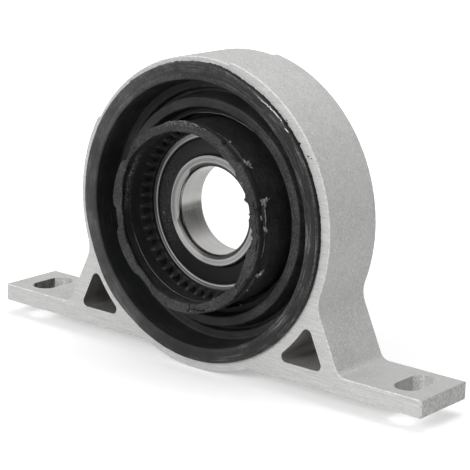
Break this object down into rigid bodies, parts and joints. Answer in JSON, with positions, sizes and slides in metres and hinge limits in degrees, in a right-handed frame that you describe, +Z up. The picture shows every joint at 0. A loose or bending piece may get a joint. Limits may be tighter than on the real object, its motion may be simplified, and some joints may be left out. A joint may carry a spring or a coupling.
{
  "type": "driveshaft centre bearing",
  "caption": "Aluminium bracket with slotted feet, holding a sealed ball bearing in a rubber bellows mount; carries the middle of a split driveshaft.",
  "frame": {"origin": "middle of the bearing, on the shaft's axis", "axes": "+Y along the shaft towards the plain back, -Y towards the side where the rubber collar stands out, +X along the feet, +Z up from the feet"},
  "size_m": [0.182, 0.0335, 0.1062],
  "materials": {
    "sawn_aluminium": "sawn and tumbled",
    "mount_rubber": "matt, lightly worn",
    "seal_rubber": "satin",
    "bearing_steel": "ground",
    "sleeve_steel": "dull, light rust",
    "cage_steel": "pressed sheet"
  },
  "bodies": {
    "bracket": {"housing": "sawn_aluminium", "outer_sleeve": "sleeve_steel", "rubber_mount": "mount_rubber"},
    "bearing_seat": {"inner_sleeve": "sleeve_steel", "outer_race": "bearing_steel", "front_seal": "seal_rubber", "rear_seal": "seal_rubber"},
    "shaft_ring": {"inner_race": "bearing_steel"},
    "cage": {"cage_front": "cage_steel", "cage_rear": "cage_steel", "cage_rivets": "cage_steel"},
    "ball_01": {"ball_01": "bearing_steel"},
    "ball_02": {"ball_02": "bearing_steel"},
    "ball_03": {"ball_03": "bearing_steel"},
    "ball_04": {"ball_04": "bearing_steel"},
    "ball_05": {"ball_05": "bearing_steel"},
    "ball_06": {"ball_06": "bearing_steel"},
    "ball_07": {"ball_07": "bearing_steel"},
    "ball_08": {"ball_08": "bearing_steel"},
    "ball_09": {"ball_09": "bearing_steel"},
    "ball_10": {"ball_10": "bearing_steel"},
    "ball_11": {"ball_11": "bearing_steel"}
  },
  "joints": [
    {"name": "axial_float", "type": "slide", "parent": "bracket", "child": "bearing_seat", "axis": [0, 1, 0], "range_m": [-0.005, 0.005], "stiffness_N_per_m": 20000, "deforming": ["rubber_mount"]},
    {"name": "shaft_spin", "type": "hinge", "parent": "bearing_seat", "child": "shaft_ring", "pos_m": [0, 0, 0], "axis": [0, 1, 0], "continuous": true},
    {"name": "cage_spin", "type": "hinge", "parent": "bearing_seat", "child": "cage", "pos_m": [0, 0, 0], "axis": [0, 1, 0], "continuous": true},
    {"name": "ball_01_spin", "type": "hinge", "parent": "cage", "child": "ball_01", "pos_m": [0, 0, 0.02125], "axis": [0, 1, 0], "continuous": true},
    {"name": "ball_02_spin", "type": "hinge", "parent": "cage", "child": "ball_02", "pos_m": [-0.01149, 0, 0.01788], "axis": [0, 1, 0], "continuous": true},
    {"name": "ball_03_spin", "type": "hinge", "parent": "cage", "child": "ball_03", "pos_m": [-0.01933, 0, 0.00883], "axis": [0, 1, 0], "continuous": true},
    {"name": "ball_04_spin", "type": "hinge", "parent": "cage", "child": "ball_04", "pos_m": [-0.02103, 0, -0.00302], "axis": [0, 1, 0], "continuous": true},
    {"name": "ball_05_spin", "type": "hinge", "parent": "cage", "child": "ball_05", "pos_m": [-0.01606, 0, -0.01392], "axis": [0, 1, 0], "continuous": true},
    {"name": "ball_06_spin", "type": "hinge", "parent": "cage", "child": "ball_06", "pos_m": [-0.00599, 0, -0.02039], "axis": [0, 1, 0], "continuous": true},
    {"name": "ball_07_spin", "type": "hinge", "parent": "cage", "child": "ball_07", "pos_m": [0.00599, 0, -0.02039], "axis": [0, 1, 0], "continuous": true},
    {"name": "ball_08_spin", "type": "hinge", "parent": "cage", "child": "ball_08", "pos_m": [0.01606, 0, -0.01392], "axis": [0, 1, 0], "continuous": true},
    {"name": "ball_09_spin", "type": "hinge", "parent": "cage", "child": "ball_09", "pos_m": [0.02103, 0, -0.00302], "axis": [0, 1, 0], "continuous": true},
    {"name": "ball_10_spin", "type": "hinge", "parent": "cage", "child": "ball_10", "pos_m": [0.01933, 0, 0.00883], "axis": [0, 1, 0], "continuous": true},
    {"name": "ball_11_spin", "type": "hinge", "parent": "cage", "child": "ball_11", "pos_m": [0.01149, 0, 0.01788], "axis": [0, 1, 0], "continuous": true}
  ],
  "couplings": [
    {"joint": "cage_spin", "follows": "shaft_spin", "ratio": 0.41595},
    {"joint": "ball_01_spin", "follows": "shaft_spin", "ratio": -2.8905},
    {"joint": "ball_02_spin", "follows": "shaft_spin", "ratio": -2.8905},
    {"joint": "ball_03_spin", "follows": "shaft_spin", "ratio": -2.8905},
    {"joint": "ball_04_spin", "follows": "shaft_spin", "ratio": -2.8905},
    {"joint": "ball_05_spin", "follows": "shaft_spin", "ratio": -2.8905},
    {"joint": "ball_06_spin", "follows": "shaft_spin", "ratio": -2.8905},
    {"joint": "ball_07_spin", "follows": "shaft_spin", "ratio": -2.8905},
    {"joint": "ball_08_spin", "follows": "shaft_spin", "ratio": -2.8905},
    {"joint": "ball_09_spin", "follows": "shaft_spin", "ratio": -2.8905},
    {"joint": "ball_10_spin", "follows": "shaft_spin", "ratio": -2.8905},
    {"joint": "ball_11_spin", "follows": "shaft_spin", "ratio": -2.8905}
  ]
}
